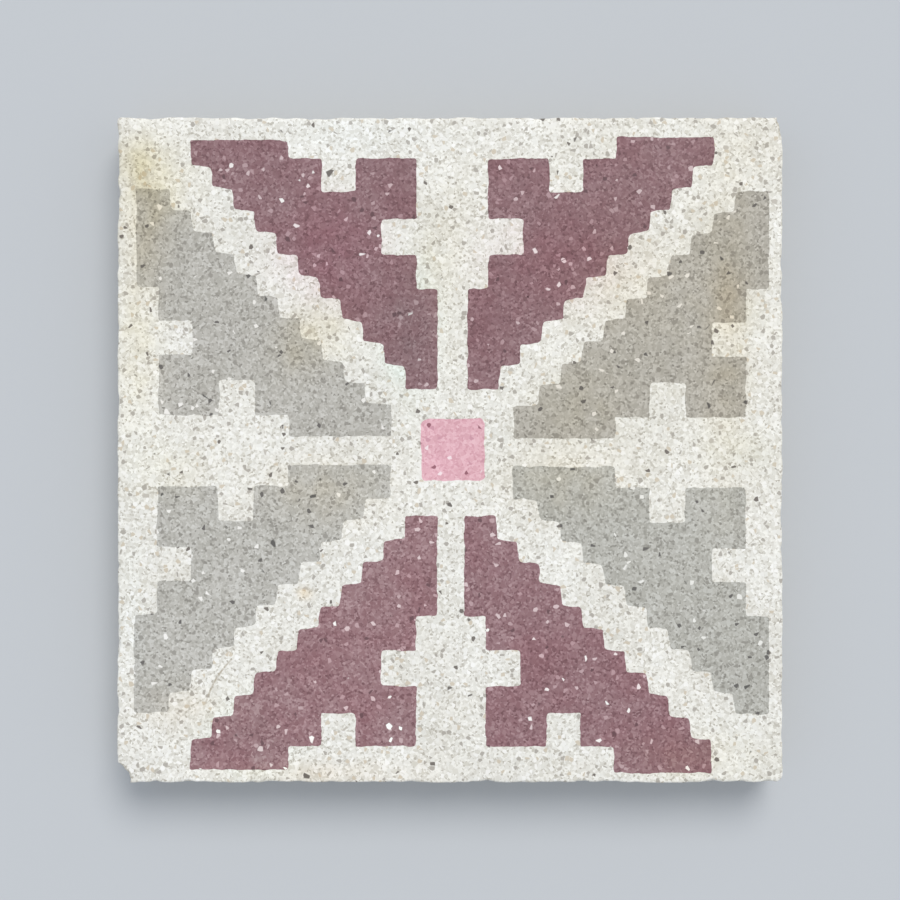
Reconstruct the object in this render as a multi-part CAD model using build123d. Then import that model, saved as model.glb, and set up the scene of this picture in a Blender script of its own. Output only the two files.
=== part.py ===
from build123d import *
import os

# Square pressed terrazzo floor tile, one solid, in millimetres.
# It lies flat with its wearing face up, and the origin is the middle of its bed face.
# The pattern's coloured mixes are pressed flush with each other, so they have no relief.

# Driving dimensions
SIDE = 200.0            # edge to edge, the same both ways
THICKNESS = 20.0        # bed face to wearing face
PRESSED_CORNER = 1.2    # radius of an upright corner as it left the mould
ROUNDED_CORNER = 2.6    # radius of the upright corner that wear has rounded
WORN_EDGE = 0.6         # radius that wear has given the rim of the wearing face
BED_EDGE = 0.5          # chamfer round the bed face

# Two corners have lost a piece. Its outline on the wearing face runs from the edge along X
# to the edge along Y, measured from the whole tile's corner. It narrows downwards, to
# nothing at the depth given, and the broken corner's depth reaches through the bed face.
BROKEN_OUTLINE = [(3.7, 0.0), (3.2, 2.5), (0.0, 5.6)]
BROKEN_DEPTH = 60.0
CHAFED_OUTLINE = [(1.7, 0.0), (0.9, 1.4), (0.35, 3.7), (0.0, 5.8)]
CHAFED_DEPTH = 9.0

# Corners are named by the way they point along X and Y
BROKEN = (-1, -1)
ROUNDED = (1, -1)
CHAFED = (1, 1)
CORNERS = [(-1, -1), (1, -1), (1, 1), (-1, 1)]


def upright_edge(slab, corner):
    """Return the upright edge of one corner of the slab."""
    toward_x, toward_y = corner
    middle = Vector(toward_x * SIDE / 2, toward_y * SIDE / 2, THICKNESS / 2)
    return slab.edges().filter_by(Axis.Z).sort_by_distance(middle)[0]


def pressed_slab():
    """Return the tile before it lost any piece, with its worn rim and relieved bed."""
    slab = Box(SIDE, SIDE, THICKNESS, align=(Align.CENTER, Align.CENTER, Align.MIN))
    for corner in CORNERS:
        radius = ROUNDED_CORNER if corner == ROUNDED else PRESSED_CORNER
        slab = fillet(upright_edge(slab, corner), radius)
    rim = slab.faces().sort_by(Axis.Z)[-1].edges()
    slab = fillet(rim, WORN_EDGE)
    bed_rim = slab.faces().sort_by(Axis.Z)[0].edges()
    return chamfer(bed_rim, BED_EDGE)


def lost_piece(corner, outline, depth):
    """Return the pyramid that a corner has lost, carried past the tile's sides."""
    toward_x, toward_y = corner
    beyond = -max(outline[0][0], outline[-1][1])
    around = outline + [(beyond, outline[-1][1]), (beyond, beyond), (outline[0][0], beyond)]
    base = [
        (toward_x * (SIDE / 2 - along_x), toward_y * (SIDE / 2 - along_y), THICKNESS)
        for along_x, along_y in around
    ]
    tip = Vertex(toward_x * SIDE / 2, toward_y * SIDE / 2, THICKNESS - depth)
    return loft([make_face(Polyline(*base, close=True)), tip], ruled=True)


tile = pressed_slab()
tile -= lost_piece(BROKEN, BROKEN_OUTLINE, BROKEN_DEPTH)
tile -= lost_piece(CHAFED, CHAFED_OUTLINE, CHAFED_DEPTH)
tile.label = "tile"

os.makedirs("parts", exist_ok=True)
export_step(tile, "parts/tile.step")
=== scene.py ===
import math
import random

import bpy
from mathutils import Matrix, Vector, geometry, noise


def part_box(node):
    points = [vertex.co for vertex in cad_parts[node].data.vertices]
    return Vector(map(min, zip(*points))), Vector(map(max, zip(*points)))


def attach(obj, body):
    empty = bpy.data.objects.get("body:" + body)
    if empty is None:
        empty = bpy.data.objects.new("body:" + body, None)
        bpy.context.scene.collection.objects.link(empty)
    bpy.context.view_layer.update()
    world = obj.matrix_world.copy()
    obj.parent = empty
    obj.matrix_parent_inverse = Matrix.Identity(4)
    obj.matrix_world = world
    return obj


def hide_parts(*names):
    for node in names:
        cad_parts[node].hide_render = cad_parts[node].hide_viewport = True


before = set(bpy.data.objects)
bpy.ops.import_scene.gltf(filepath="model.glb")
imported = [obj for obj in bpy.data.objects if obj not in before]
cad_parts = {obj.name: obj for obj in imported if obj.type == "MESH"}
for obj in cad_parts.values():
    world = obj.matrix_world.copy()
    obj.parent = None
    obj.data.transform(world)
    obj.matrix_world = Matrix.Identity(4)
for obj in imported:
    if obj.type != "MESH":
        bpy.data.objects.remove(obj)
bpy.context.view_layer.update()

# The tile is drawn in millimetres and turned into metres when its mesh is made
MM = 0.001
tile_low, tile_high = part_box("tile")
HALF = (tile_high.x - tile_low.x) / 2 / MM
THICKNESS = (tile_high.z - tile_low.z) / MM

# Which way the corners of a square point, anticlockwise
SQUARE = [(-1, -1), (1, -1), (1, 1), (-1, 1)]

# Sizes of the tile's edges, as the solid has them
PRESSED_CORNER = 1.2
ROUNDED_CORNER = 2.6
BED_EDGE = 0.5

# Corners that lost a piece: where they point, the outline in the wearing face measured from the
# worn corner, and the depth at which the piece narrows to nothing
LOST_PIECES = [
    ((-1, -1), [(3.7, 0.0), (3.2, 2.5), (0.0, 5.6)], 60.0),
    ((1, 1), [(1.7, 0.0), (0.9, 1.4), (0.35, 3.7), (0.0, 5.8)], 9.0),
]
# How far the worn corner lies inside the solid's sides, and how near the losses points are left out
WORN_IN = 0.45
LOSS_CLEARANCE = 8.5

# Air pores in the wearing face, in the sides and in the bed: how many, and their radii
FACE_PORES = (34, 0.22, 0.5)
SIDE_PORES = (52, 0.6, 1.5)
BED_PORES = (70, 0.5, 1.9)
# How far pores reach from the middle along X and Y, and how high they lie in the sides. Those in
# a flat face lie at least a cell apart and keep clear of its outlines.
PORE_FIELD = 95
PORE_HEIGHTS = (1.6, THICKNESS - 2.6)
PORE_CELL = 5.0
PORE_CLEARANCE = 0.6
# A pore's depth as shares of its radius, and the share of its radius at which it has run out
PORE_DEPTHS = (0.4, 0.7)
PORE_END = 1.05
# Rings of points round a pore: share of its radius, and how many
PORE_RINGS = [(0.55, 7), (0.9, 10), (1.25, 12)]

# Spacing of the mesh along the sides, round the corners and along the pattern
RIM_SPACING = 0.55
CORNER_SPACING = 0.4
PATTERN_SPACING = 0.5
# Points spread over the wearing face and the bed: the crowd's cell, the spacing, the margin at
# the rim, and how clear they keep of other points
FACE_FIELD = (1.6, 1.5, 1.6, 0.62)
BED_FIELD = (3.5, 3.5, 2.5, 1.6)
JITTER = 0.3
# Points nearer than this count as one
NEAREST = 1e-5
# Levels of the mesh down the edge: turns of the worn arris in degrees, and steps down the side
ARRIS_TURNS = (90, 74, 56, 38, 20, 0)
SIDE_LEVELS = 26
# The cream of the wearing face runs over this many levels, and edges sharper than this many
# degrees look sharp
CREAM_LEVELS = 3
SHARP_ANGLE = 38

# Noise in the shape, as layers of (strength, size of the features, seed), and the mean it adds to
RIM_WEAR = 0.2
RIM_LAYERS = [(0.42, 7.5, 2.0), (0.26, 2.6, 5.0)]
ARRIS_RADIUS = 0.62
ARRIS_LAYER = (0.25, 5.0, 8.0)
SIDE_WEAR = 0.05
SIDE_LAYERS = [(0.16, 4.2, 3.0), (0.10, 1.6, 6.0)]
FRACTURE_LAYERS = [(0.24, 2.2, 4.0), (0.10, 0.9, 9.0)]
BED_LAYERS = [(0.16, 6.0, 14.0), (0.10, 20.0, 15.0)]
BORDER_LAYERS_X = [(0.42, 3.4, 0), (0.17, 1.1, 50)]
BORDER_LAYERS_Y = [(0.42, 3.4, 130), (0.17, 1.1, 180)]
# Shares of the rim's wear that are left at a corner and at the bed, the span from a corner over
# which it grows, along X and Y together, and how far a fracture's top edge has worn
WEAR_AT_CORNER = 0.3
WEAR_AT_BED = 0.25
CORNER_SPAN = (1.0, 6.0)
FRACTURE_WEAR = 0.45
# A border of the pattern is rounded with a bell curve: the steps along the border, how many of
# them the curve reaches, and its width
BORDER_STEP = 0.1
BORDER_REACH = 14
BORDER_ROUNDING = 0.48

# Half a wedge of the pattern: out from the middle along the wedge, and aside from its axis
STEPS = 10
STEP_ASIDE = 6.47
STEM_ASIDE = 4.25
HEAD_OUT = 49.1
HEAD_ASIDE = 10.6
ARM_OUT = (59.4, 70.1)
ARM_ASIDE = 21.1
NOTCH_OUT = 78.2
NOTCH_ASIDE = (28.9, 39.0)
SHOULDER_OUT = 88.3
RIM_ASIDE = 49.1
# How far a step's corners are off square, out and aside
SLACK_OUT = 0.34
SLACK_ASIDE = 0.28

# Each mix's inner end, then the first riser, the first tread and the height of one step
WEDGE_MIXES = {
    "burgundy": (19.0, 13.8, 19.7, 6.63),
    "grey": (18.4, 14.0, 19.6, 6.52),
}

# A tint that changes nothing
PLAIN = (1.0, 1.0, 1.0)

# The eight halves: mix, outward and sideways directions, how far the sheet metal divider sat
# off its place outward and sideways, where the rim came out, and the tint of this filling
WEDGE_HALVES = [
    ("burgundy", (0, 1), (-1, 0), -0.7, -0.5, 93.0, (0.92, 0.92, 0.92)),
    ("burgundy", (0, 1), (1, 0), -0.8, 0.9, 94.0, (0.90, 0.88, 0.89)),
    ("burgundy", (0, -1), (-1, 0), 0.75, -0.4, 96.0, (1.11, 1.15, 1.13)),
    ("burgundy", (0, -1), (1, 0), 0.8, 0.1, 97.0, (1.02, 1.02, 1.02)),
    ("grey", (-1, 0), (0, 1), -0.8, -0.15, 94.2, (1.03, 1.02, 1.02)),
    ("grey", (-1, 0), (0, -1), -0.4, 0.25, 94.9, (1.06, 1.06, 1.07)),
    ("grey", (1, 0), (0, 1), 0.6, -0.8, 95.8, (0.96, 0.93, 0.90)),
    ("grey", (1, 0), (0, -1), 0.5, 0.7, 95.8, (1.0, 1.01, 1.01)),
]
# The pink square in the middle: x, y, width and height, and the radius of its corners
CENTRE_SQUARE = (0.9, 0.1, 19.0, 18.6)
CENTRE_CORNER = 1.6

# Colour of the floor and of what surrounds it, then the window: where its light comes from, its
# colour, its power and its spread in degrees
SURROUNDINGS = (200, 204, 209)
WINDOW_FROM = (0.2, 0.55, 0.8)
WINDOW_COLOUR = (1.0, 0.965, 0.91)
WINDOW_POWER = 1.55
WINDOW_SPREAD = 32

# The floor's reach and level in metres, the camera's lens and sensor in millimetres, and the
# share of the picture's width that the tile takes up
FLOOR_REACH = 6.0
FLOOR_LEVEL = -0.0001
LENS = 70.0
SENSOR = 36.0
SHARE_OF_PICTURE = 0.74

MATERIALS = ["cream", "burgundy", "grey", "pink", "side", "bed", "fracture"]
SLOT_OF = {name: number for number, name in enumerate(MATERIALS)}

# The tile's unwrapped map, in shares of its side: the wearing face, the gaps and one side's strip
MAP_FACE = 0.772
MAP_GAP = 0.008
MAP_STRIP = 0.0772


# Small helpers

def wave(x, y, size, seed):
    """Smooth noise over the face, about -1 to 1, with features of the given size."""
    return noise.noise(Vector((x / size, y / size, seed)))


def wave_in_space(x, y, z, size, seed):
    """Smooth noise in the solid, about -1 to 1."""
    return noise.noise(Vector((x / size + seed, y / size - seed, z / size)))


def layered(x, y, mean, layers, seed=0.0):
    """Layers of noise over the face, added to a mean."""
    for strength, size, own_seed in layers:
        mean += strength * wave(x, y, size, own_seed + seed)
    return mean


def layered_in_space(x, y, z, mean, layers):
    """Layers of noise in the solid, added to a mean."""
    for strength, size, seed in layers:
        mean += strength * wave_in_space(x, y, z, size, seed)
    return mean


def between(low, high, share):
    """The value at a share of the way from low to high."""
    return low + (high - low) * share


def smooth_step(value, low, high):
    """Rise smoothly from 0 at low to 1 at high."""
    share = min(max((value - low) / (high - low), 0.0), 1.0)
    return share * share * (3 - 2 * share)


def hump(x, y, centre_x, centre_y, radius_x, radius_y):
    """A soft hump that is 1 at its centre and fades past its radii."""
    return math.exp(-((x - centre_x) / radius_x) ** 2 - ((y - centre_y) / radius_y) ** 2)


def spaced(corners, spacing):
    """Points at an even spacing along a closed outline."""
    lengths = [math.dist(a, b) for a, b in zip(corners, corners[1:] + corners[:1])]
    total = sum(lengths)
    count = round(total / spacing)
    points = []
    index = 0
    passed = 0.0
    for number in range(count):
        target = total * number / count
        while passed + lengths[index] < target:
            passed += lengths[index]
            index += 1
        share = (target - passed) / lengths[index]
        start = corners[index]
        end = corners[(index + 1) % len(corners)]
        points.append((
            between(start[0], end[0], share),
            between(start[1], end[1], share),
        ))
    return points


def softened(corners, seed):
    """The outline that a mix left in the face: rounded corners and a slightly unsteady edge."""
    offsets = range(-BORDER_REACH, BORDER_REACH + 1)
    weights = [math.exp(-((offset * BORDER_STEP / BORDER_ROUNDING) ** 2) / 2) for offset in offsets]
    total = sum(weights)
    dense = spaced(corners, BORDER_STEP)
    count = len(dense)
    outline = []
    for number in range(0, count, 2):
        x = 0.0
        y = 0.0
        for offset, weight in zip(offsets, weights):
            near = dense[(number + offset) % count]
            x += near[0] * weight
            y += near[1] * weight
        x /= total
        y /= total
        shift_x = layered(x, y, 0.0, BORDER_LAYERS_X, seed)
        shift_y = layered(x, y, 0.0, BORDER_LAYERS_Y, seed)
        outline.append((x + shift_x, y + shift_y))
    return spaced(outline, PATTERN_SPACING)


def placed(name, data):
    """A new object with the given data, in the scene."""
    made = bpy.data.objects.new(name, data)
    bpy.context.scene.collection.objects.link(made)
    return made


# The pattern

def half_wedge(mix, rim):
    """Corners of half a wedge, as (out, aside)."""
    inner, first_riser, first_tread, step_out = WEDGE_MIXES[mix]
    corners = [(inner, STEM_ASIDE), (inner, first_riser)]
    for step in range(1, STEPS + 1):
        tread = first_tread + step_out * step
        near = first_riser + STEP_ASIDE * (step - 1)
        corners.append((tread - SLACK_OUT, near + SLACK_ASIDE))
        corners.append((tread + SLACK_OUT, near + STEP_ASIDE - SLACK_ASIDE))
    return corners + [
        (rim, first_riser + STEP_ASIDE * STEPS),
        (rim, RIM_ASIDE),
        (SHOULDER_OUT, RIM_ASIDE),
        (SHOULDER_OUT, NOTCH_ASIDE[1]),
        (NOTCH_OUT, NOTCH_ASIDE[1]),
        (NOTCH_OUT, NOTCH_ASIDE[0]),
        (SHOULDER_OUT, NOTCH_ASIDE[0]),
        (SHOULDER_OUT, HEAD_ASIDE),
        (ARM_OUT[1], HEAD_ASIDE),
        (ARM_OUT[1], ARM_ASIDE),
        (ARM_OUT[0], ARM_ASIDE),
        (ARM_OUT[0], HEAD_ASIDE),
        (HEAD_OUT, HEAD_ASIDE),
        (HEAD_OUT, STEM_ASIDE),
    ]


def pattern_outlines():
    """Every coloured region of the face as (mix, outline, tone)."""
    regions = []
    for number, half in enumerate(WEDGE_HALVES):
        mix, outward, sideways, shift_out, shift_aside, rim, tone = half
        corners = []
        for out, aside in half_wedge(mix, rim - shift_out):
            out += shift_out
            aside += shift_aside
            x = outward[0] * out + sideways[0] * aside
            y = outward[1] * out + sideways[1] * aside
            corners.append((x, y))
        if outward[0] * sideways[1] - outward[1] * sideways[0] > 0:
            corners.reverse()
        regions.append((mix, softened(corners, 3.7 * number), tone))

    x, y, width, height = CENTRE_SQUARE
    corners = []
    for right, up in SQUARE:
        for degrees in range(0, 91, 15):
            turn = math.radians(degrees) + math.atan2(up, right) - math.pi / 4
            corners.append((
                x + right * (width / 2 - CENTRE_CORNER) + CENTRE_CORNER * math.cos(turn),
                y + up * (height / 2 - CENTRE_CORNER) + CENTRE_CORNER * math.sin(turn),
            ))
    regions.append(("pink", softened(corners, 91.0), PLAIN))
    return regions


# The rim

def rim_stations():
    """Places round the whole tile's outline: x, y, outward x and y, and side.

    The sides are numbered from the one at -Y, anticlockwise from above.
    """
    radii = [PRESSED_CORNER, ROUNDED_CORNER, PRESSED_CORNER, PRESSED_CORNER]
    stations = []
    for side in range(4):
        angle = side * math.pi / 2
        along = (round(math.cos(angle)), round(math.sin(angle)))
        outward = (along[1], -along[0])
        start_radius = radii[side]
        end_radius = radii[(side + 1) % 4]
        run = 2 * HALF - start_radius - end_radius
        count = round(run / RIM_SPACING)
        for number in range(count):
            place = -HALF + start_radius + run * number / count
            stations.append((
                along[0] * place + outward[0] * HALF,
                along[1] * place + outward[1] * HALF,
                *outward, side,
            ))
        centre = HALF - end_radius
        count = max(4, round(end_radius * math.pi / 2 / CORNER_SPACING))
        for number in range(count):
            turn = angle - math.pi / 2 + math.pi / 2 * number / count
            stations.append((
                along[0] * centre + outward[0] * centre + math.cos(turn) * end_radius,
                along[1] * centre + outward[1] * centre + math.sin(turn) * end_radius,
                math.cos(turn), math.sin(turn), side,
            ))
    return stations


# Bites out of the worn rim: x, y, half width, how far in and how far down
KNOWN_BITES = [
    (79.0, -100.0, 4.2, 0.55, 2.0),
    (-38.0, 100.0, 2.4, 0.45, 1.6),
    (100.0, -31.0, 2.2, 0.5, 1.8),
    (100.0, 46.0, 2.8, 0.5, 1.8),
    (-100.0, 22.0, 2.0, 0.35, 1.4),
    (-100.0, -58.0, 2.6, 0.45, 1.6),
]
# Small bites: how many, how far they reach from the middle of a side, how much rarer deep ones
# are, their half widths, how far in and how far down
SMALL_BITES = 96
BITE_FIELD = 96
BITE_POWER = 2.2
BITE_WIDTHS = (0.7, 2.2)
BITE_DEPTHS = (0.1, 0.6)
BITE_DROPS = (0.5, 2.1)


def on_a_side(number, place):
    """A place along the sides, which are taken in turn."""
    end = HALF if number % 2 else -HALF
    return (place, end) if number % 4 < 2 else (end, place)


def rim_bites():
    """The listed bites, and smaller ones spread at random round the rim."""
    draw = random.Random(11)
    bites = list(KNOWN_BITES)
    for number in range(SMALL_BITES):
        x, y = on_a_side(number, draw.uniform(-BITE_FIELD, BITE_FIELD))
        share = draw.random() ** BITE_POWER
        half_width = draw.uniform(*BITE_WIDTHS)
        bites.append((x, y, half_width, between(*BITE_DEPTHS, share), between(*BITE_DROPS, share)))
    return bites


def lost_from(distance_x, distance_y, outline, share):
    """How far a point lies inside a lost piece, measured along the diagonal of its corner.

    Returns that and how far the point is from the nearer end of the piece.
    """
    along = distance_x - distance_y
    for start, end in zip(outline, outline[1:]):
        from_along = (start[0] - start[1]) * share
        to_along = (end[0] - end[1]) * share
        if to_along <= along <= from_along:
            part = (along - from_along) / (to_along - from_along)
            reach = (start[0] + start[1]) * (1 - part) + (end[0] + end[1]) * part
            from_end = min(outline[0][0] * share - along, along + outline[-1][1] * share)
            return (reach * share - distance_x - distance_y) / 2, from_end
    return 0.0, 0.0


def broken(x, y, below):
    """Move a point of the rim out of the pieces that the corners have lost.

    Returns the place and whether it now lies in a fracture.
    """
    for corner, outline, depth in LOST_PIECES:
        share = 1 - below / depth
        if share <= 0:
            continue
        distance_x = HALF - WORN_IN - corner[0] * x
        distance_y = HALF - WORN_IN - corner[1] * y
        inside, from_end = lost_from(distance_x, distance_y, outline, share)
        if from_end > 0:
            rough = layered_in_space(distance_x - distance_y, 0.0, below, 0.0, FRACTURE_LAYERS)
            rough += FRACTURE_WEAR * (1 - smooth_step(below, -0.1, 0.7))
            inside += rough * smooth_step(from_end, 0.0, 1.2)
        if inside > 0:
            return x - corner[0] * inside, y - corner[1] * inside, True
    return x, y, False


def rim_wear(stations, bites):
    """For each station: how far wear has set the edge in, its arris radius and its bites."""
    strength, size, seed = ARRIS_LAYER
    worn = []
    for station in stations:
        x, y = station[:2]
        from_corner = smooth_step(2 * HALF - abs(x) - abs(y), *CORNER_SPAN)
        inward = layered(x, y, RIM_WEAR, RIM_LAYERS)
        inward *= between(WEAR_AT_CORNER, 1, from_corner)
        radius = ARRIS_RADIUS + strength * from_corner * wave(x, y, size, seed)
        near = []
        for bite_x, bite_y, half_width, deep, drop in bites:
            distance = math.dist((x, y), (bite_x, bite_y))
            if distance < 3 * half_width:
                near.append((deep * math.exp(-(distance / half_width) ** 2), drop))
        worn.append((max(inward, 0.0), radius, near))
    return worn


def dent(distance, radius, depth, level):
    """How deep a pore is at a distance from its middle, where a share of its radius is level."""
    return depth * (1 - smooth_step(distance, level * radius, PORE_END * radius))


def side_pores():
    """Air pores that the mould left in the sides: x, y, height, radius and depth."""
    draw = random.Random(23)
    count, smallest, largest = SIDE_PORES
    pores = []
    for number in range(count):
        x, y = on_a_side(number, draw.uniform(-PORE_FIELD, PORE_FIELD))
        radius = between(smallest, largest, draw.random() ** 2)
        height = draw.uniform(*PORE_HEIGHTS)
        pores.append((x, y, height, radius, radius * draw.uniform(*PORE_DEPTHS)))
    return pores


def pores_near(station, pores):
    """Pores that a station crosses: how far aside, height, radius and depth."""
    found = []
    for x, y, height, radius, depth in pores:
        aside = math.dist(station[:2], (x, y))
        if aside < 1.1 * radius:
            found.append((aside, height, radius, depth))
    return found


def edge_point(kind, value, station, wear, pores):
    """A point of the edge: x, y, z, whether it lies in a fracture, and how deep it lies in a pore."""
    x, y, out_x, out_y = station[:4]
    inward, radius, bites = wear
    hollow = 0.0
    if kind == "arris":
        below = radius * (1 - math.sin(math.radians(value)))
        inset = inward + radius * (1 - math.cos(math.radians(value)))
    elif kind == "side":
        below = radius + (THICKNESS - BED_EDGE - radius) * value
        inset = inward * (1 - (1 - WEAR_AT_BED) * smooth_step(below, 1.0, 7.0))
    else:
        below = THICKNESS
        inset = inward * WEAR_AT_BED + BED_EDGE
    for deep, drop in bites:
        if below < drop:
            inset += deep * (1 - below / drop)
    if kind != "arris":
        rough = layered_in_space(x, y, below, SIDE_WEAR, SIDE_LAYERS)
        inset += smooth_step(below, 0.6, 2.0) * max(rough, 0.0)
        for aside, height, size, depth in pores:
            distance = math.hypot(aside, THICKNESS - below - height)
            hollow = max(hollow, dent(distance, size, depth, level=0.35))
        inset += hollow
    x, y, fractured = broken(x - out_x * inset, y - out_y * inset, below)
    return x, y, THICKNESS - below, fractured, hollow


def edge_rings(stations):
    """Rings of points down the edge, from the wearing face to the bed."""
    worn = rim_wear(stations, rim_bites())
    pores = side_pores()
    crossed = [pores_near(station, pores) for station in stations]
    levels = [("arris", turn) for turn in ARRIS_TURNS]
    levels += [("side", number / SIDE_LEVELS) for number in range(1, SIDE_LEVELS + 1)]
    levels.append(("bed", 1.0))
    rings = []
    for kind, value in levels:
        rings.append([edge_point(kind, value, *place) for place in zip(stations, worn, crossed)])
    return rings


# Points and triangles of the flat faces

def cell_of(x, y, size):
    """The cell of a grid that a place lies in."""
    return math.floor(x / size), math.floor(y / size)


class Crowd:
    """Points in a grid of cells, to ask whether any lies near a place."""

    def __init__(self, cell):
        self.cell = cell
        self.cells = {}

    def add(self, places):
        for x, y in places:
            self.cells.setdefault(cell_of(x, y, self.cell), []).append((x, y))

    def near(self, x, y, distance):
        column, row = cell_of(x, y, self.cell)
        for i in range(column - 1, column + 2):
            for j in range(row - 1, row + 2):
                for place in self.cells.get((i, j), []):
                    if math.dist(place, (x, y)) < distance:
                        return True
        return False


def clear_of_losses(x, y):
    """Whether a place keeps clear of the corners that lost a piece."""
    for corner, _, _ in LOST_PIECES:
        if 2 * HALF - corner[0] * x - corner[1] * y < LOSS_CLEARANCE:
            return False
    return True


def scattered(crowd, spacing, margin, clear, draw):
    """Places at a jittered spacing that keep clear of the crowd."""
    places = []
    reach = HALF - margin
    count = round(2 * reach / spacing)
    for row in range(count + 1):
        for column in range(count + 1):
            shift_x = draw.uniform(-JITTER, JITTER) * spacing
            shift_y = draw.uniform(-JITTER, JITTER) * spacing
            x = -reach + 2 * reach * (column + 0.5 * (row % 2)) / count + shift_x
            y = -reach + 2 * reach * row / count + shift_y
            if abs(x) > reach or abs(y) > reach:
                continue
            if not crowd.near(x, y, clear):
                places.append((x, y))
    return places


def open_pores(sizes, crowd, draw):
    """Open pores in a flat face, clear of the crowd and of each other: x, y, radius and depth."""
    count, smallest, largest = sizes
    apart = Crowd(PORE_CELL)
    pores = []
    while len(pores) < count:
        x = draw.uniform(-PORE_FIELD, PORE_FIELD)
        y = draw.uniform(-PORE_FIELD, PORE_FIELD)
        radius = between(smallest, largest, draw.random() ** 2)
        if crowd.near(x, y, radius + PORE_CLEARANCE) or apart.near(x, y, PORE_CELL):
            continue
        if clear_of_losses(x, y):
            apart.add([(x, y)])
            pores.append((x, y, radius, radius * draw.uniform(*PORE_DEPTHS)))
    return pores


def pore_places(pores):
    """The middle of each pore and rings of points round it."""
    places = []
    for x, y, radius, _ in pores:
        places.append((x, y))
        for share, count in PORE_RINGS:
            for number in range(count):
                turn = 2 * math.pi * number / count
                places.append((x + radius * share * math.cos(turn), y + radius * share * math.sin(turn)))
    return places


def by_cell(pores):
    """The pores by the cells of a grid that they may reach."""
    cells = {}
    for pore in pores:
        column, row = cell_of(pore[0], pore[1], PORE_CELL)
        for i in (-1, 0, 1):
            for j in (-1, 0, 1):
                cells.setdefault((column + i, row + j), []).append(pore)
    return cells


def hollow_at(x, y, cells):
    """How deep a place lies in a pore."""
    deepest = 0.0
    for pore_x, pore_y, radius, depth in cells.get(cell_of(x, y, PORE_CELL), []):
        distance = math.dist((x, y), (pore_x, pore_y))
        deepest = max(deepest, dent(distance, radius, depth, level=0.3))
    return deepest


def triangulated(outlines, places):
    """Fill the first outline with triangles that follow the other outlines too.

    Returns the points, the triangles, which outlines each triangle lies in, and the numbers of
    the first outline's points.
    """
    points = []
    loops = []
    for outline in outlines:
        loops.append(list(range(len(points), len(points) + len(outline))))
        points += outline
    points += places
    inside_only = 1
    found = geometry.delaunay_2d_cdt([Vector(p) for p in points], [], loops, inside_only, NEAREST, True)
    new_points, _, all_triangles, origins, _, all_parents = found
    triangles = []
    parents = []
    for triangle, parent in zip(all_triangles, all_parents):
        if parent:
            triangles.append(triangle)
            parents.append(parent)
    where = {}
    for number, originals in enumerate(origins):
        for original in originals:
            where[original] = number
    rim = [where[number] for number in loops[0]]
    return [tuple(p) for p in new_points], triangles, parents, rim


def filled(outlines, field, pore_sizes, draw):
    """Fill a face with triangles and open pores.

    Returns what triangulated gives, and the pores by cell.
    """
    cell, spacing, margin, clear = field
    crowd = Crowd(cell)
    for outline in outlines:
        crowd.add(outline)
    pores = open_pores(pore_sizes, crowd, draw)
    places = pore_places(pores)
    crowd.add(places)
    spread = scattered(crowd, spacing, margin, clear, draw)
    places += [place for place in spread if clear_of_losses(*place)]
    return *triangulated(outlines, places), by_cell(pores)


# Colours that vary from place to place

# Stains and patches of uneven pigment in the wearing face: x, y, radius along x and along y,
# and the tint at full strength
STAINS = [
    (-93, 87, 7, 8, (0.89, 0.85, 0.71)),
    (-88, 79, 11, 12, (0.95, 0.92, 0.81)),
    (-91, 66, 6, 13, (0.94, 0.90, 0.81)),
    (-94, 34, 7, 28, (0.965, 0.94, 0.855)),
    (-38, 36, 9, 8, (0.985, 0.965, 0.89)),
    (-45, 31, 8, 9, (0.96, 0.93, 0.86)),
    (-84, -6, 12, 8, (0.995, 0.98, 0.925)),
    (-38, -12, 16, 9, (0.985, 0.95, 0.88)),
    (-43.5, -43, 2.2, 1.6, (1.0, 0.90, 0.76)),
    (-80, -77, 13, 6, (0.98, 0.95, 0.91)),
    (-40, -97, 26, 4, (0.99, 0.95, 0.90)),
    (34, -8, 16, 10, (0.985, 0.955, 0.89)),
    (70, -92, 16, 7, (0.99, 0.965, 0.90)),
    (83, 38, 7, 46, (0.98, 0.95, 0.88)),
    (84, 45, 5, 9, (0.97, 0.93, 0.87)),
    (68, 46, 50, 62, (0.985, 0.975, 0.945)),
    (92, -92, 16, 12, (0.98, 0.98, 0.965)),
    (38, 14, 14, 10, (0.97, 0.955, 0.90)),
    (54, 50, 14, 12, (0.97, 0.95, 0.90)),
    (-4, 56, 6, 12, (0.975, 0.965, 0.92)),
    (-36, 60, 13, 13, (0.98, 0.83, 0.89)),
    (-13, 36, 7.5, 16, (0.94, 1.05, 1.02)),
    (32, 58, 18, 12, (0.99, 0.88, 0.91)),
    (-60, -86, 10, 9, (1.0, 1.12, 1.08)),
    (-28, 95, 24, 6, (1.03, 1.05, 1.07)),
    (-96, -45, 5, 28, (1.015, 1.03, 1.04)),
    (-90, -2, 9, 8, (1.02, 1.03, 1.04)),
    (92, 90, 12, 9, (0.97, 0.96, 0.935)),
    (88, 0, 11, 6, (0.97, 0.97, 0.94)),
    (0, 68, 10, 18, (0.99, 0.98, 0.95)),
    (0, 33, 5, 14, (0.985, 0.975, 0.955)),
    (89, 40, 4.5, 6, (0.93, 0.93, 0.91)),
    (-96, 30, 4, 6, (0.94, 0.935, 0.93)),
]
# A long curved scratch: its circle's centre and radius, the arc's middle, and how far it reaches
SCRATCH_CIRCLE = (-44.85, -84.0, 29.6)
SCRATCH_MIDDLE = (-70.3, -69.0)
SCRATCH_REACH = 10.5

# How uneven a stain is, over what size, and the most that its colour counts
STAIN_UNEVEN = 0.7
STAIN_PATCH = 5.0
STAIN_LIMIT = 1.15
# Faint clouds over the whole face
CLOUD_LAYERS = [(0.035, 26.0, 31.0), (0.025, 9.0, 37.0)]
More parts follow.
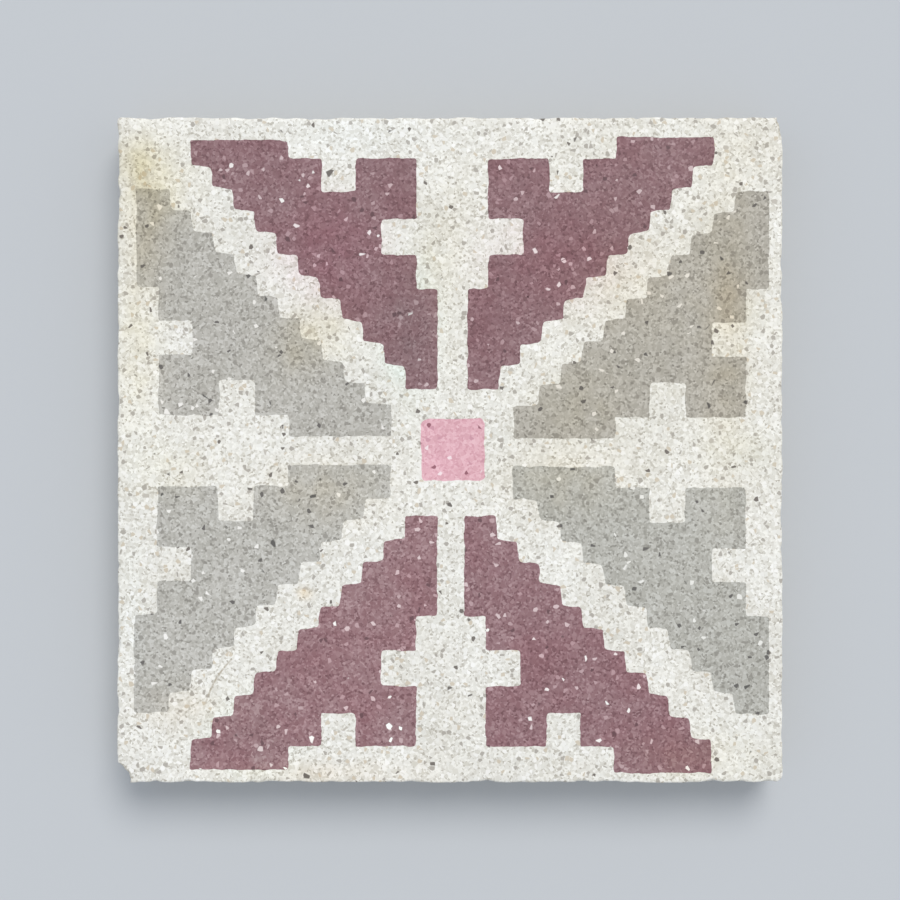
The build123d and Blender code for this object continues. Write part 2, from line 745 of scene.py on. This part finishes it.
# Shares of red, green and blue that the sides' dirt takes away
DIRT = (0.24, 0.28, 0.36)


def face_tint(x, y):
    """Colour that stains and uneven pigment give to a place in the wearing face."""
    tint = [1.0, 1.0, 1.0]
    for centre_x, centre_y, radius_x, radius_y, colour in STAINS:
        strength = hump(x, y, centre_x, centre_y, radius_x, radius_y)
        if strength > 0.01:
            strength *= 1.0 + STAIN_UNEVEN * wave(x, y, STAIN_PATCH, centre_x)
            strength = min(strength, STAIN_LIMIT)
            for channel in range(3):
                tint[channel] *= 1 - (1 - colour[channel]) * strength
    cloud = layered(x, y, 1, CLOUD_LAYERS)
    return [channel * cloud for channel in tint]


def side_tint(x, y, z):
    """Colour that dirt gives to the sides, which are darker towards the bed."""
    low = 1 - smooth_step(z, -4.0, THICKNESS + 2.0)
    patch = 0.5 + 0.9 * wave_in_space(x, y, z * 1.6, 17.0, 12.0)
    dirt = min(max(0.45 * low + 0.45 * low * patch, 0.0), 1.0)
    return [1 - share * dirt for share in DIRT]


def shaded(hollow, depth, darkest):
    """How much light a place in a pore keeps, where the given depth is dark."""
    return 1 - darkest * min(hollow / depth, 1.0)


# The mesh

class Shell:
    """The mesh in the making: points tinted with stains, dirt and painted pore shade, and faces with a
    material, a tone and a chart.
    """

    def __init__(self):
        self.points = []
        self.tints = []
        self.faces = []
        self.slots = []
        self.charts = []
        self.tones = []

    def add_point(self, x, y, z, tint):
        self.points.append((x, y, z))
        self.tints.append(tint)
        return len(self.points) - 1

    def add_face(self, corners, material, chart, tone=PLAIN):
        self.faces.append(tuple(corners))
        self.slots.append(SLOT_OF[material])
        self.charts.append(chart)
        self.tones.append(tone)

    def made(self, name):
        """The finished object."""
        mesh = bpy.data.meshes.new(name)
        mesh.from_pydata([(x * MM, y * MM, z * MM) for x, y, z in self.points], [], self.faces)
        mesh.polygons.foreach_set("material_index", self.slots)
        colours = []
        for face, tone in zip(self.faces, self.tones):
            for number in face:
                colours += [channel * share for channel, share in zip(self.tints[number], tone)]
                colours.append(1.0)
        # Vertex colour holding the stains, the dirt and the painted shade in pores
        stains_dirt_and_pore_shade = mesh.attributes.new("stains_dirt_and_pore_shade", "FLOAT_COLOR", "CORNER")
        stains_dirt_and_pore_shade.data.foreach_set("color", colours)
        lay_out(mesh, self.charts)
        mesh.validate()
        mesh.shade_smooth()
        mesh.set_sharp_from_angle(angle=math.radians(SHARP_ANGLE))
        return placed(name, mesh)


def lay_out(mesh, charts):
    """Lay the mesh out flat in one map: the wearing face large, sides in strips, the bed small."""
    layer = mesh.uv_layers.new(name="OFBake")
    scale = MAP_FACE / (2 * HALF)
    strips = MAP_GAP * 2 + MAP_FACE
    bed_scale = (1 - strips - MAP_GAP) / (2 * HALF)
    places = []
    for polygon, chart in zip(mesh.polygons, charts):
        for vertex in polygon.vertices:
            x, y, z = (value / MM for value in mesh.vertices[vertex].co)
            if chart == "top":
                places += [MAP_GAP + (x + HALF) * scale, MAP_GAP + (y + HALF) * scale]
            elif chart == "bed":
                places += [strips + (x + HALF) * bed_scale, strips + (y + HALF) * bed_scale]
            else:
                along = MAP_GAP + ((x if chart in (0, 2) else y) + HALF) * scale
                number = 0 if chart < 2 else 1
                across = strips + number * (MAP_STRIP + MAP_GAP) + z * scale
                places += [along, across] if chart in (0, 2) else [across, along]
    layer.data.foreach_set("uv", places)


def add_wearing_face(shell, ring, draw):
    """Fill the wearing face with the pattern. Returns the numbers of its rim's points.

    It comes first, so that its points have the same numbers in the shell.
    """
    regions = pattern_outlines()
    outlines = [ring] + [outline for mix, outline, tone in regions]
    places, triangles, parents, rim, cells = filled(outlines, FACE_FIELD, FACE_PORES, draw)
    for x, y in places:
        hollow = hollow_at(x, y, cells)
        # Painted shade: points deep in a pore are darkened in colour
        shade = shaded(hollow, depth=0.2, darkest=0.45)
        shell.add_point(x, y, THICKNESS - hollow, [channel * shade for channel in face_tint(x, y)])
    for triangle, parent in zip(triangles, parents):
        mix = "cream"
        tone = PLAIN
        inner = [number for number in parent if number > 0]
        if inner:
            mix, outline, tone = regions[inner[0] - 1]
        shell.add_face(triangle, mix, "top", tone)
    return rim


def add_edge(shell, stations, rings, rim):
    """Join ring after ring down the edge. Returns the numbers of the lowest ring's points."""
    above = rim
    above_ring = rings[0]
    count = len(stations)
    for level, ring in enumerate(rings[1:], start=1):
        row = []
        for x, y, z, fractured, hollow in ring:
            blend = smooth_step(THICKNESS - z, 0.0, 1.2)
            # Painted shade: points deep in a side pore are darkened in colour
            shade = shaded(hollow, depth=0.4, darkest=0.4)
            mixed = zip(face_tint(x, y), side_tint(x, y, z))
            tint = [(face * (1 - blend) + side * blend) * shade for face, side in mixed]
            row.append(shell.add_point(x, y, z, tint))
        for number in range(count):
            following = (number + 1) % count
            corners = (above[following], above[number], row[number], row[following])
            places = (above_ring[number], above_ring[following], ring[number], ring[following])
            if sum(fractured for x, y, z, fractured, hollow in places) >= 3:
                shell.add_face(corners, "fracture", stations[number][4])
            elif level <= CREAM_LEVELS:
                shell.add_face(corners, "cream", "top")
            else:
                shell.add_face(corners, "side", stations[number][4])
        above = row
        above_ring = ring
    return above


def add_bed(shell, ring, rim, draw):
    """Close the shell with the bed, a little uneven and with pores."""
    places, triangles, _, own_rim, cells = filled([ring], BED_FIELD, BED_PORES, draw)
    shared = dict(zip(own_rim, rim))
    numbers = []
    for own_number, (x, y) in enumerate(places):
        if own_number in shared:
            numbers.append(shared[own_number])
            continue
        hollow = hollow_at(x, y, cells)
        height = max(layered(x, y, 0.0, BED_LAYERS), 0.0) + hollow
        # Painted shade: points deep in a bed pore are darkened in colour
        shade = shaded(hollow, depth=0.4, darkest=0.35)
        numbers.append(shell.add_point(x, y, height, [shade] * 3))
    for triangle in triangles:
        shell.add_face([numbers[number] for number in reversed(triangle)], "bed", "bed")


def build_tile():
    """Make the whole tile as one closed mesh."""
    draw = random.Random(5)
    stations = rim_stations()
    rings = edge_rings(stations)
    shell = Shell()
    rim = add_wearing_face(shell, [point[:2] for point in rings[0]], draw)
    rim = add_edge(shell, stations, rings, rim)
    add_bed(shell, [point[:2] for point in rings[-1]], rim, draw)
    return shell.made("tile_terrazzo")


# The materials

def srgb(red, green, blue):
    """A colour given by its usual 0 to 255 values, as light."""
    light = []
    for value in (red, green, blue):
        value /= 255
        light.append(value / 12.92 if value <= 0.04045 else ((value + 0.055) / 1.055) ** 2.4)
    return (*light, 1.0)


class Graph:
    """Adds nodes to one material."""

    def __init__(self, name):
        self.material = bpy.data.materials.new(name)
        self.material.use_nodes = True
        self.shader = self.material.node_tree.nodes["Principled BSDF"]
        place = self.add("TexCoord", {}).outputs["Object"]
        self.place = self.vector("MULTIPLY", place, (1 / MM, 1 / MM, 1 / MM))

    def plug(self, node, inputs):
        """Link a node's inputs to other nodes, or set their values."""
        for name, value in inputs.items():
            if isinstance(value, bpy.types.NodeSocket):
                self.material.node_tree.links.new(value, node.inputs[name])
            else:
                node.inputs[name].default_value = value

    def add(self, kind, inputs, **settings):
        """A new node with its inputs and settings."""
        node = self.material.node_tree.nodes.new("ShaderNode" + kind)
        for name, value in settings.items():
            setattr(node, name, value)
        self.plug(node, inputs)
        return node

    def vector(self, operation, first, second=(0.0, 0.0, 0.0), output="Vector"):
        node = self.add("VectorMath", {0: first, 1: second}, operation=operation)
        return node.outputs[output]

    def maths(self, operation, first, second=0.0, third=0.0):
        node = self.add("Math", {0: first, 1: second, 2: third}, operation=operation)
        return node.outputs[0]

    def span(self, value, low, high, to_low=0.0, to_high=1.0):
        """Map a value smoothly from one span to another."""
        inputs = {"Value": value, "From Min": low, "From Max": high, "To Min": to_low, "To Max": to_high}
        return self.add("MapRange", inputs, interpolation_type="SMOOTHSTEP").outputs["Result"]

    def mix(self, factor, first, second, blend="MIX"):
        inputs = {0: factor, 6: first, 7: second}
        node = self.add("Mix", inputs, data_type="RGBA", blend_type=blend, clamp_factor=True)
        return node.outputs[2]

    def ramp(self, value, stops):
        node = self.add("ValToRGB", {"Fac": value})
        elements = node.color_ramp.elements
        while len(elements) < len(stops):
            elements.new(0.5)
        for element, (position, colour) in zip(elements, stops):
            element.position = position
            element.color = colour
        return node.outputs["Color"]

    def cells(self, place, size, output="Color", feature="F1"):
        """Random cells of the given size in millimetres, like stone broken for a mix."""
        node = self.add("TexVoronoi", {"Vector": place, "Scale": 1 / size}, feature=feature)
        return node.outputs[output]

    def parts(self, place, size):
        """Three random values for each cell, as Red, Green and Blue."""
        return self.add("SeparateColor", {0: self.cells(place, size)}).outputs

    def clouds(self, place, size, detail=2.0, roughness=0.5):
        inputs = {"Vector": place, "Scale": 1 / size, "Detail": detail, "Roughness": roughness}
        return self.add("TexNoise", inputs).outputs["Fac"]

    def soiled_and_shaded(self, colour, strength=1.0):
        """A colour under the stains, dirt and painted pore shade that the mesh carries."""
        stains_dirt_and_pore_shade = self.add("Attribute", {}, attribute_name="stains_dirt_and_pore_shade").outputs["Color"]
        return self.mix(strength, colour, stains_dirt_and_pore_shade, "MULTIPLY")

    def height(self):
        """Height above the bed in millimetres."""
        return self.add("SeparateXYZ", {0: self.place}).outputs["Z"]

    def moved(self, amount):
        """The place, shifted so that two layers of cells don't coincide."""
        return self.vector("ADD", self.place, (amount, amount * 0.7, amount * 1.3))

    def finish(self, colour, roughness, height, distance, strength):
        """Wire up the shader, with a bump from the height, and give the finished material."""
        bump = self.add("Bump", {"Distance": distance * MM, "Strength": strength, "Height": height})
        normal = bump.outputs["Normal"]
        self.plug(self.shader, {"Base Color": colour, "Roughness": roughness, "Normal": normal})
        return self.material


def tones(*stops):
    """Ramp stops from (position, red, green, blue)."""
    return [(position, srgb(*colour)) for position, *colour in stops]


# Sizes in millimetres of the stones in the mixes and in the bed, and of the side's small pores, which
# are painted dark as shade
GRIT_SIZE = 0.62
CHIP_SIZE = 1.18
LARGE_SIZE = 2.1
SAND_SIZE = 0.75
STONE_SIZE = 2.3
PORE_SIZE = 3.1

# Where noise starts and stops to count, and the span of roughness in each kind of surface
CLOUD_SPAN = (0.3, 0.7)
FACE_ROUGHNESS = (0.46, 0.62)
SIDE_ROUGHNESS = (0.72, 0.88)
BED_ROUGHNESS = (0.84, 0.95)
FRACTURE_ROUGHNESS = (0.82, 0.94)

# The two tints that an even batch drifts between
EVEN_DRIFT = [(0.97, 0.97, 0.965), (1.03, 1.03, 1.035)]

# Each mix: tones of its fine grit, tones of its chips, how many cells show a chip, kinds of
# scarce and of large chips as (share, colour), and the two tints that the batch drifts between
MIXES = {
    "cream": {
        "grit": tones(
            (0.0, 186, 181, 170), (0.14, 211, 208, 199), (0.4, 230, 228, 221), (1.0, 250, 249, 243),
        ),
        "chips": tones((0.0, 218, 215, 205), (0.5, 234, 233, 227), (1.0, 252, 251, 248)),
        "chip_share": 0.40,
        "scarce": [(0.005, (120, 113, 107)), (0.035, (180, 175, 167)), (0.03, (212, 202, 185))],
        "large": [(0.003, (112, 106, 101)), (0.012, (197, 192, 183))],
        "drift": [(0.965, 0.96, 0.95), (1.035, 1.04, 1.05)],
    },
    "burgundy": {
        "grit": tones(
            (0.0, 113, 76, 82), (0.3, 138, 100, 106), (0.7, 149, 113, 119), (1.0, 171, 137, 142),
        ),
        "chips": tones((0.0, 133, 94, 100), (0.6, 149, 113, 118), (1.0, 164, 130, 135)),
        "chip_share": 0.35,
        "scarce": [
            (0.004, (248, 240, 238)), (0.012, (212, 187, 190)),
            (0.02, (184, 152, 157)), (0.007, (104, 72, 78)),
        ],
        "large": [(0.004, (248, 242, 240)), (0.005, (130, 92, 98))],
        "drift": [(0.93, 0.85, 0.87), (1.06, 1.14, 1.12)],
    },
    "grey": {
        "grit": tones(
            (0.0, 140, 137, 130), (0.25, 172, 170, 162), (0.6, 187, 185, 178), (1.0, 205, 204, 198),
        ),
        "chips": tones((0.0, 172, 170, 162), (0.6, 186, 184, 177), (1.0, 200, 199, 193)),
        "chip_share": 0.38,
        "scarce": [(0.010, (102, 99, 96)), (0.008, (238, 236, 231)), (0.045, (152, 149, 142))],
        "large": [(0.005, (92, 90, 87)), (0.004, (240, 238, 234))],
        "drift": EVEN_DRIFT,
    },
    "pink": {
        "grit": tones((0.0, 212, 157, 170), (0.4, 226, 174, 186), (1.0, 237, 192, 202)),
        "chips": tones((0.0, 217, 164, 176), (0.6, 228, 178, 189), (1.0, 239, 196, 205)),
        "chip_share": 0.35,
        "scarce": [(0.010, (152, 96, 110)), (0.02, (246, 226, 230)), (0.03, (207, 153, 168))],
        "large": [(0.01, (246, 226, 230))],
        "drift": EVEN_DRIFT,
    },
}

# Small stones in the bed's cement, as (share, colour)
BED_STONES = [(0.05, (134, 127, 118)), (0.04, (206, 200, 188)), (0.015, (108, 102, 96))]


def strewn(graph, colour, pick, edge, kinds):
    """Put kinds of scarce chips over a colour, each in its share of the cells."""
    reached = 0.0
    for share, tone in kinds:
        above = graph.maths("GREATER_THAN", pick, reached)
        below = graph.maths("LESS_THAN", pick, reached + share)
        picked = graph.maths("MULTIPLY", above, below)
        picked = graph.maths("MULTIPLY", picked, graph.span(edge, 0.02, 0.14))
        colour = graph.mix(picked, colour, srgb(*tone))
        reached += share
    return colour


def terrazzo_colour(graph, mix):
    """One mix, through the whole solid: its colour, where chips show, and its grit."""
    grit = graph.parts(graph.place, GRIT_SIZE)
    chip = graph.parts(graph.place, CHIP_SIZE)
    edge = graph.cells(graph.place, CHIP_SIZE, "Distance", "DISTANCE_TO_EDGE")

    colour = graph.ramp(grit["Red"], mix["grit"])
    chip_colour = graph.ramp(chip["Red"], mix["chips"])
    shows = graph.maths("LESS_THAN", chip["Green"], mix["chip_share"])
    border = graph.span(edge, 0.03, 0.10)
    shows = graph.maths("MULTIPLY", shows, border)
    colour = graph.mix(shows, colour, chip_colour)

    colour = strewn(graph, colour, chip["Blue"], edge, mix["scarce"])
    place = graph.moved(63.0)
    large = graph.parts(place, LARGE_SIZE)
    edge = graph.cells(place, LARGE_SIZE, "Distance", "DISTANCE_TO_EDGE")
    colour = strewn(graph, colour, large["Blue"], edge, mix["large"])

    cloud = graph.clouds(graph.moved(40.0), size=13.0, detail=3.0, roughness=0.55)
    cloud = graph.span(cloud, *CLOUD_SPAN)
    drift = graph.mix(cloud, (*mix["drift"][0], 1.0), (*mix["drift"][1], 1.0))
    colour = graph.mix(1.0, colour, drift, "MULTIPLY")
    return colour, shows, grit


def scratched(graph, colour):
    """Draw the long curved scratch across the face, part of a circle."""
    centre_x, centre_y, radius = SCRATCH_CIRCLE
    flat = graph.vector("MULTIPLY", graph.place, (1.0, 1.0, 0.0))
    spoke = graph.vector("SUBTRACT", flat, (centre_x, centre_y, 0.0))
    from_centre = graph.vector("LENGTH", spoke, output="Value")
    off = graph.maths("ABSOLUTE", graph.maths("SUBTRACT", from_centre, radius))
    line = graph.span(off, 0.1, 0.42, to_low=1.0, to_high=0.0)
    along = graph.vector("SUBTRACT", flat, (*SCRATCH_MIDDLE, 0.0))
    from_middle = graph.vector("LENGTH", along, output="Value")
    fade = graph.span(from_middle, 4.0, SCRATCH_REACH, to_low=1.0, to_high=0.0)
    line = graph.maths("MULTIPLY", line, fade)
    patchy = graph.clouds(graph.moved(5.0), size=1.6)
    patchy = graph.span(patchy, 0.35, 0.55, to_low=0.35, to_high=0.9)
    return graph.mix(graph.maths("MULTIPLY", line, patchy), colour, srgb(178, 168, 150))


def terrazzo_material(name):
    """A mix in the wearing face, ground flat and dulled by use."""
    graph = Graph(name)
    colour, shows, grit = terrazzo_colour(graph, MIXES[name])
    if name == "cream":
        colour = scratched(graph, colour)
    colour = graph.soiled_and_shaded(colour)
    wear = graph.clouds(graph.moved(11.0), size=14.0, detail=4.0, roughness=0.6)
    roughness = graph.span(wear, *CLOUD_SPAN, *FACE_ROUGHNESS)
    roughness = graph.maths("MULTIPLY_ADD", shows, -0.07, roughness)
    fine = graph.clouds(graph.place, size=0.35)
    height = graph.maths("MULTIPLY_ADD", grit["Green"], 0.6, fine)
    return graph.finish(colour, roughness, height, distance=0.018, strength=0.5)


def side_material():
    """Sides of the tile: the cream mix under a weathered cement skin."""
    graph = Graph("side")
    colour, _, grit = terrazzo_colour(graph, MIXES["cream"])
    patch = graph.clouds(graph.moved(23.0), size=6.0, detail=4.0, roughness=0.6)
    skin = graph.clouds(graph.place, size=1.1, detail=3.0, roughness=0.6)
    beige = tones((0.25, 184, 173, 155), (0.5, 210, 201, 184), (0.75, 228, 221, 206))
    cover = graph.span(patch, 0.34, 0.6, to_low=0.35, to_high=0.9)
    uneven = graph.maths("MULTIPLY_ADD", patch, 4.0, graph.height())
    near_face = graph.span(uneven, THICKNESS - 1.5, THICKNESS + 1.6, to_low=1.0, to_high=0.15)
    cover = graph.maths("MULTIPLY", cover, near_face)
    colour = graph.mix(cover, colour, graph.ramp(skin, beige))
    place = graph.moved(7.0)
    hole = graph.cells(place, PORE_SIZE, "Distance")
    size = graph.parts(place, PORE_SIZE)["Red"]
    size = graph.span(size, 0.3, 1.0, to_low=0.0, to_high=0.19)
    pore = graph.span(hole, graph.maths("MULTIPLY", size, 0.6), size, to_low=1.0, to_high=0.0)
    # Painted shade: the small pores are darkened in colour as if shaded inside
    colour = graph.mix(graph.maths("MULTIPLY", pore, 0.6), colour, srgb(104, 96, 84))
    colour = graph.soiled_and_shaded(colour)
    roughness = graph.span(patch, *CLOUD_SPAN, *SIDE_ROUGHNESS)
    height = graph.maths("MULTIPLY_ADD", pore, -1.6, skin)
    height = graph.maths("MULTIPLY_ADD", grit["Green"], 0.25, height)
    return graph.finish(colour, roughness, height, distance=0.12, strength=0.7)


def bed_material():
    """The bed: rough cement with sand and small stones in it."""
    graph = Graph("bed")
    paste = graph.clouds(graph.place, size=1.6, detail=5.0, roughness=0.7)
    patch = graph.clouds(graph.moved(51.0), size=22.0, detail=5.0, roughness=0.65)
    sand = graph.parts(graph.place, SAND_SIZE)
    place = graph.moved(29.0)
    stones = graph.parts(place, STONE_SIZE)
    edge = graph.cells(place, STONE_SIZE, "Distance", "DISTANCE_TO_EDGE")
    cement = tones((0.3, 150, 143, 131), (0.5, 173, 166, 154), (0.7, 193, 187, 175))
    grains = tones((0.0, 118, 111, 101), (0.3, 166, 159, 146), (1.0, 208, 202, 190))
    colour = graph.mix(0.45, graph.ramp(paste, cement), graph.ramp(sand["Red"], grains))
    colour = strewn(graph, colour, stones["Blue"], edge, BED_STONES)
    stain = graph.ramp(patch, tones((0.35, 226, 219, 207), (0.65, 255, 255, 254)))
    colour = graph.mix(1.0, colour, stain, "MULTIPLY")
    colour = graph.soiled_and_shaded(colour)
    roughness = graph.span(patch, *CLOUD_SPAN, *BED_ROUGHNESS)
    height = graph.maths("MULTIPLY_ADD", sand["Green"], 0.6, paste)
    return graph.finish(colour, roughness, height, distance=0.25, strength=0.9)


def fracture_material():
    """Broken corners: the cream mix, rough and unpolished."""
    graph = Graph("fracture")
    colour, _, grit = terrazzo_colour(graph, MIXES["cream"])
    rough = graph.clouds(graph.place, size=0.7, detail=4.0, roughness=0.65)
    dull = graph.ramp(rough, tones((0.25, 214, 206, 192), (0.75, 255, 252, 245)))
    colour = graph.mix(0.8, colour, dull, "MULTIPLY")
    colour = graph.soiled_and_shaded(colour, strength=0.35)
    roughness = graph.span(rough, *CLOUD_SPAN, *FRACTURE_ROUGHNESS)
    height = graph.maths("MULTIPLY_ADD", grit["Green"], 0.5, rough)
    return graph.finish(colour, roughness, height, distance=0.22, strength=0.8)


# The scene

def build_floor():
    """A plain pale floor under the tile."""
    mesh = bpy.data.meshes.new("floor")
    corners = [(x * FLOOR_REACH, y * FLOOR_REACH, FLOOR_LEVEL) for x, y in SQUARE]
    mesh.from_pydata(corners, [], [(0, 1, 2, 3)])
    floor = placed("floor", mesh)
    material = bpy.data.materials.new("floor")
    material.use_nodes = True
    shader = material.node_tree.nodes["Principled BSDF"]
    shader.inputs["Base Color"].default_value = srgb(*SURROUNDINGS)
    shader.inputs["Roughness"].default_value = 1.0
    shader.inputs["Specular IOR Level"].default_value = 0.0
    mesh.materials.append(material)


def light_scene():
    """Soft light from a window beyond the tile's +Y side, and an even fill from all round."""
    world = bpy.data.worlds.new("world")
    world.use_nodes = True
    world.node_tree.nodes["Background"].inputs["Color"].default_value = srgb(*SURROUNDINGS)
    bpy.context.scene.world = world
    light = bpy.data.lights.new("window", "SUN")
    light.energy = WINDOW_POWER
    light.color = WINDOW_COLOUR
    light.angle = math.radians(WINDOW_SPREAD)
    window = placed("window", light)
    window.rotation_euler = Vector(WINDOW_FROM).to_track_quat("Z", "Y").to_euler()


def add_camera():
    """Look straight down on the middle of the tile, with its +Y side up."""
    data = bpy.data.cameras.new("camera")
    data.lens = LENS
    data.sensor_width = SENSOR
    width = 2 * HALF * MM / SHARE_OF_PICTURE
    camera = placed("camera", data)
    camera.location = (0.0, 0.0, THICKNESS * MM + width * LENS / SENSOR)
    bpy.context.scene.camera = camera


add_camera()
tile = build_tile()
makers = {"side": side_material, "bed": bed_material, "fracture": fracture_material}
for name in MATERIALS:
    material = terrazzo_material(name) if name in MIXES else makers[name]()
    tile.data.materials.append(material)
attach(tile, "root")
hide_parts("tile")

build_floor()
light_scene()
bpy.context.scene.view_settings.view_transform = "Standard"
